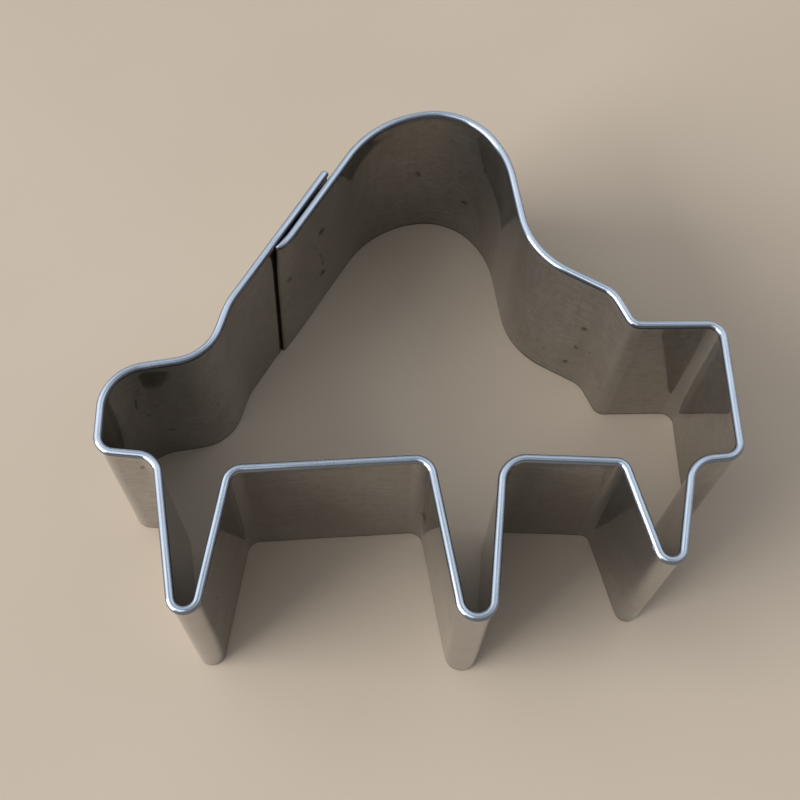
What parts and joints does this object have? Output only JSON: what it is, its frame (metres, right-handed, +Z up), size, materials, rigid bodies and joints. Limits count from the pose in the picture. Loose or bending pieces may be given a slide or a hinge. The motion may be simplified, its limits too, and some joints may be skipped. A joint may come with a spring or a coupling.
{
  "type": "cookie cutter",
  "caption": "Thin bright steel strip with a rolled rim, bent to a grand-piano outline and closed by a spot-welded lap, for cutting shapes out of rolled dough.",
  "frame": {"origin": "on the surface that the cutting edge stands on, under the middle of the outline's box", "axes": "+X along the keyboard towards its overhanging end, +Y from the legs towards the raised lid, +Z up towards the rolled rim"},
  "size_m": [0.0724, 0.0662, 0.0254],
  "materials": {
    "strip": "bright rolled sheet, used",
    "weld": "fused, dull"
  },
  "bodies": {
    "root": {"strip": "strip", "lower_weld": "weld", "upper_weld": "weld"}
  },
  "joints": []
}
